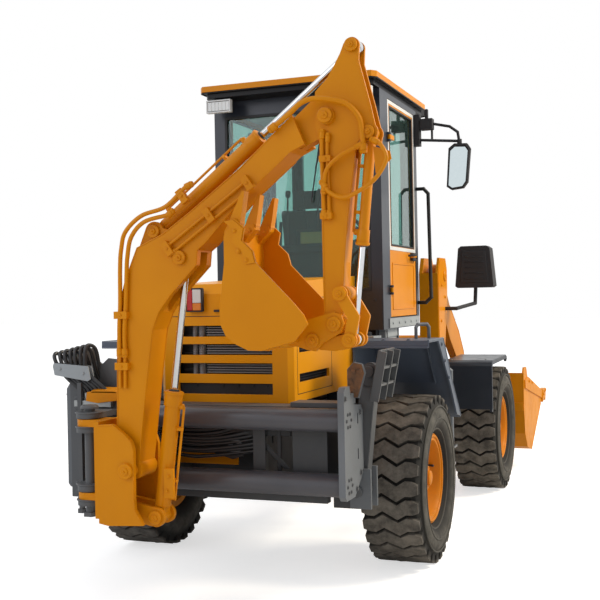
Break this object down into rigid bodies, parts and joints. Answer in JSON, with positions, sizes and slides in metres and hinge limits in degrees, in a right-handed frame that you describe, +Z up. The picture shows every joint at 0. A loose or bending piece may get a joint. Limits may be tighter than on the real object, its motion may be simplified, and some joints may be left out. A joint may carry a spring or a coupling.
{
  "type": "backhoe loader",
  "caption": "Articulated wheeled loader with a cab, a front bucket on lift arms, and a side-shifting digging arm with stabilisers at the rear.",
  "frame": {"origin": "centre of the machine's footprint box, on the ground", "axes": "+X to the machine's right, +Y forward to the loader bucket, +Z up"},
  "size_m": [2.386, 6.525, 3.265],
  "materials": {
    "yellow_paint": "gloss",
    "grey_paint": "satin",
    "black_paint": "satin",
    "navy_paint": "gloss",
    "tank_paint": "satin",
    "tyre": "matte",
    "rod": "polished",
    "glass": "clear",
    "black_plastic": "matte",
    "radiator": "matte",
    "lamp": "gloss",
    "seat_cloth": "matte",
    "iron": "matte"
  },
  "bodies": {
    "rear_chassis": {"rear_frame": "black_paint", "slide_frame": "grey_paint", "slide_tubes": "black_paint", "rear_axle": "iron", "engine_block": "iron", "engine_hood": "yellow_paint", "radiator": "radiator", "cab_shell": "navy_paint", "cab_roof": "yellow_paint", "cab_glass": "glass", "cab_interior": "black_plastic", "seat_cushion": "seat_cloth", "seat_back": "seat_cloth", "head_rest": "seat_cloth", "rear_fenders": "grey_paint", "side_tanks": "tank_paint", "steps": "grey_paint", "rear_lamps": "lamp", "mirrors": "black_paint"},
    "front_chassis": {"front_frame": "yellow_paint", "loader_towers": "yellow_paint", "front_axle": "iron", "front_fenders": "navy_paint", "headlamps": "black_plastic"},
    "door_right": {"door_right": "yellow_paint", "door_glass_right": "glass"},
    "door_left": {"door_left": "yellow_paint", "door_glass_left": "glass"},
    "loader_arms": {"loader_arms": "yellow_paint"},
    "lift_barrels": {"lift_barrels": "yellow_paint"},
    "lift_rods": {"lift_rods": "rod"},
    "loader_bucket": {"loader_bucket": "yellow_paint"},
    "tilt_barrel": {"tilt_barrel": "yellow_paint"},
    "tilt_rod": {"tilt_rod": "rod"},
    "carriage": {"carriage": "grey_paint"},
    "swing_post": {"swing_post": "yellow_paint"},
    "boom": {"boom": "yellow_paint"},
    "boom_barrel": {"boom_barrel": "yellow_paint"},
    "boom_rod": {"boom_rod": "rod"},
    "stick": {"stick": "yellow_paint"},
    "stick_barrel": {"stick_barrel": "yellow_paint"},
    "stick_rod": {"stick_rod": "rod"},
    "bucket_barrel": {"bucket_barrel": "yellow_paint"},
    "bucket_rod": {"bucket_rod": "rod"},
    "bucket_lever": {"bucket_lever": "yellow_paint"},
    "bucket_link": {"bucket_link": "yellow_paint"},
    "digging_bucket": {"digging_bucket": "yellow_paint"},
    "leg_right": {"leg_right": "grey_paint"},
    "leg_left": {"leg_left": "grey_paint"},
    "pad_right": {"pad_right": "grey_paint"},
    "pad_left": {"pad_left": "grey_paint"},
    "wheel_rear_right": {"tyre_rear_right": "tyre", "rim_rear_right": "yellow_paint"},
    "wheel_rear_left": {"tyre_rear_left": "tyre", "rim_rear_left": "yellow_paint"},
    "wheel_front_right": {"tyre_front_right": "tyre", "rim_front_right": "yellow_paint"},
    "wheel_front_left": {"tyre_front_left": "tyre", "rim_front_left": "yellow_paint"}
  },
  "joints": [
    {"name": "spin_rear_right", "type": "hinge", "parent": "rear_chassis", "child": "wheel_rear_right", "pos_m": [0.931, -1.53, 0.5375], "axis": [1, 0, 0], "continuous": true},
    {"name": "spin_rear_left", "type": "hinge", "parent": "rear_chassis", "child": "wheel_rear_left", "pos_m": [-0.931, -1.53, 0.5375], "axis": [1, 0, 0], "continuous": true},
    {"name": "spin_front_right", "type": "hinge", "parent": "front_chassis", "child": "wheel_front_right", "pos_m": [0.931, 1.09, 0.5375], "axis": [1, 0, 0], "continuous": true},
    {"name": "spin_front_left", "type": "hinge", "parent": "front_chassis", "child": "wheel_front_left", "pos_m": [-0.931, 1.09, 0.5375], "axis": [1, 0, 0], "continuous": true},
    {"name": "centre_pivot", "type": "hinge", "parent": "rear_chassis", "child": "front_chassis", "pos_m": [0, -0.22, 0.7], "axis": [0, 0, 1], "range_deg": [-35, 35]},
    {"name": "door_right_hinge", "type": "hinge", "parent": "rear_chassis", "child": "door_right", "pos_m": [0.654, -0.894, 2.3], "axis": [0, 0, -1], "range_deg": [0, 100]},
    {"name": "door_left_hinge", "type": "hinge", "parent": "rear_chassis", "child": "door_left", "pos_m": [-0.654, -0.894, 2.3], "axis": [0, 0, 1], "range_deg": [0, 100]},
    {"name": "loader_lift", "type": "hinge", "parent": "front_chassis", "child": "loader_arms", "pos_m": [0, 0.59, 1.88], "axis": [1, 0, 0], "range_deg": [-4, 85]},
    {"name": "loader_bucket_tilt", "type": "hinge", "parent": "loader_arms", "child": "loader_bucket", "pos_m": [0, 1.69, 0.42], "axis": [-1, 0, 0], "range_deg": [0, 95]},
    {"name": "lift_barrel_swing", "type": "hinge", "parent": "front_chassis", "child": "lift_barrels", "pos_m": [0, 0.43, 0.741], "axis": [1, 0, 0], "range_deg": [-1.58, 13.37]},
    {"name": "lift_rod_slide", "type": "slide", "parent": "lift_barrels", "child": "lift_rods", "axis": [0, 0.5455, 0.8381], "range_m": [-0.0344, 0.629]},
    {"name": "tilt_barrel_swing", "type": "hinge", "parent": "loader_arms", "child": "tilt_barrel", "pos_m": [0, 1.13, 1.42], "axis": [1, 0, 0], "range_deg": [-4.75, 1]},
    {"name": "tilt_rod_slide", "type": "slide", "parent": "tilt_barrel", "child": "tilt_rod", "axis": [0, 0.7013, -0.7128], "range_m": [-0.005, 0.5654]},
    {"name": "side_shift", "type": "slide", "parent": "rear_chassis", "child": "carriage", "axis": [1, 0, 0], "range_m": [0, 1.1]},
    {"name": "swing", "type": "hinge", "parent": "carriage", "child": "swing_post", "pos_m": [-0.55, -2.99, 0.8], "axis": [0, 0, 1], "range_deg": [-180, 0]},
    {"name": "boom_lift", "type": "hinge", "parent": "swing_post", "child": "boom", "pos_m": [-0.229, -2.99, 0.795], "axis": [0, 1, 0], "range_deg": [0, 90]},
    {"name": "stick_crowd", "type": "hinge", "parent": "boom", "child": "stick", "pos_m": [0.925, -2.99, 2.64], "axis": [0, -1, 0], "range_deg": [0, 100]},
    {"name": "bucket_curl", "type": "hinge", "parent": "stick", "child": "digging_bucket", "pos_m": [0.95, -2.99, 1.579], "axis": [0, -1, 0], "range_deg": [0, 150]},
    {"name": "boom_barrel_swing", "type": "hinge", "parent": "swing_post", "child": "boom_barrel", "pos_m": [-0.099, -2.99, 0.534], "axis": [0, 1, 0], "range_deg": [-1, 86.61]},
    {"name": "boom_rod_slide", "type": "slide", "parent": "boom_barrel", "child": "boom_rod", "axis": [0.1322, 0, 0.9912], "range_m": [-0.4069, 0.005]},
    {"name": "stick_barrel_swing", "type": "hinge", "parent": "boom", "child": "stick_barrel", "pos_m": [-0.077, -2.99, 2.092], "axis": [0, -1, 0], "range_deg": [-1, 7.44]},
    {"name": "stick_rod_slide", "type": "slide", "parent": "stick_barrel", "child": "stick_rod", "axis": [0.7871, 0, 0.6169], "range_m": [-0.5638, 0.005]},
    {"name": "bucket_lever_swing", "type": "hinge", "parent": "stick", "child": "bucket_lever", "pos_m": [0.99, -2.99, 1.732], "axis": [0, -1, 0], "range_deg": [-1, 82.27]},
    {"name": "bucket_link_swing", "type": "hinge", "parent": "digging_bucket", "child": "bucket_link", "pos_m": [0.834, -2.99, 1.496], "axis": [0, -1, 0], "range_deg": [-104, 1]},
    {"name": "bucket_barrel_swing", "type": "hinge", "parent": "stick", "child": "bucket_barrel", "pos_m": [1.145, -2.99, 2.543], "axis": [0, -1, 0], "range_deg": [-1, 12.89]},
    {"name": "bucket_rod_slide", "type": "slide", "parent": "bucket_barrel", "child": "bucket_rod", "axis": [-0.1037, 0, -0.9946], "range_m": [-0.2503, 0.005]},
    {"name": "stabiliser_right", "type": "hinge", "parent": "rear_chassis", "child": "leg_right", "pos_m": [0.84, -2.33, 0.6], "axis": [0, 1, 0], "range_deg": [0, 130]},
    {"name": "pad_right_swivel", "type": "hinge", "parent": "leg_right", "child": "pad_right", "pos_m": [0.918, -2.33, 1.285], "axis": [0, 1, 0], "range_deg": [-52, 0]},
    {"name": "stabiliser_left", "type": "hinge", "parent": "rear_chassis", "child": "leg_left", "pos_m": [-0.84, -2.33, 0.6], "axis": [0, -1, 0], "range_deg": [0, 130]},
    {"name": "pad_left_swivel", "type": "hinge", "parent": "leg_left", "child": "pad_left", "pos_m": [-0.918, -2.33, 1.285], "axis": [0, -1, 0], "range_deg": [-52, 0]}
  ],
  "couplings": [
    {"joint": "lift_barrel_swing", "follows": "loader_lift", "ratio": 0.1455},
    {"joint": "lift_rod_slide", "follows": "loader_lift", "m_per_rad": 0.42065},
    {"joint": "tilt_barrel_swing", "follows": "loader_bucket_tilt", "ratio": -0.03949},
    {"joint": "tilt_rod_slide", "follows": "loader_bucket_tilt", "m_per_rad": 0.338},
    {"joint": "boom_barrel_swing", "follows": "boom_lift", "ratio": 0.95119},
    {"joint": "boom_rod_slide", "follows": "boom_lift", "m_per_rad": -0.25585},
    {"joint": "stick_barrel_swing", "follows": "stick_crowd", "ratio": 0.06444},
    {"joint": "stick_rod_slide", "follows": "stick_crowd", "m_per_rad": -0.32018},
    {"joint": "bucket_lever_swing", "follows": "bucket_curl", "ratio": 0.54183},
    {"joint": "bucket_link_swing", "follows": "bucket_curl", "ratio": -0.68669},
    {"joint": "bucket_barrel_swing", "follows": "bucket_curl", "ratio": 0.07926},
    {"joint": "bucket_rod_slide", "follows": "bucket_curl", "m_per_rad": -0.09371},
    {"joint": "pad_right_swivel", "follows": "stabiliser_right", "ratio": -0.39385},
    {"joint": "pad_left_swivel", "follows": "stabiliser_left", "ratio": -0.39385}
  ]
}
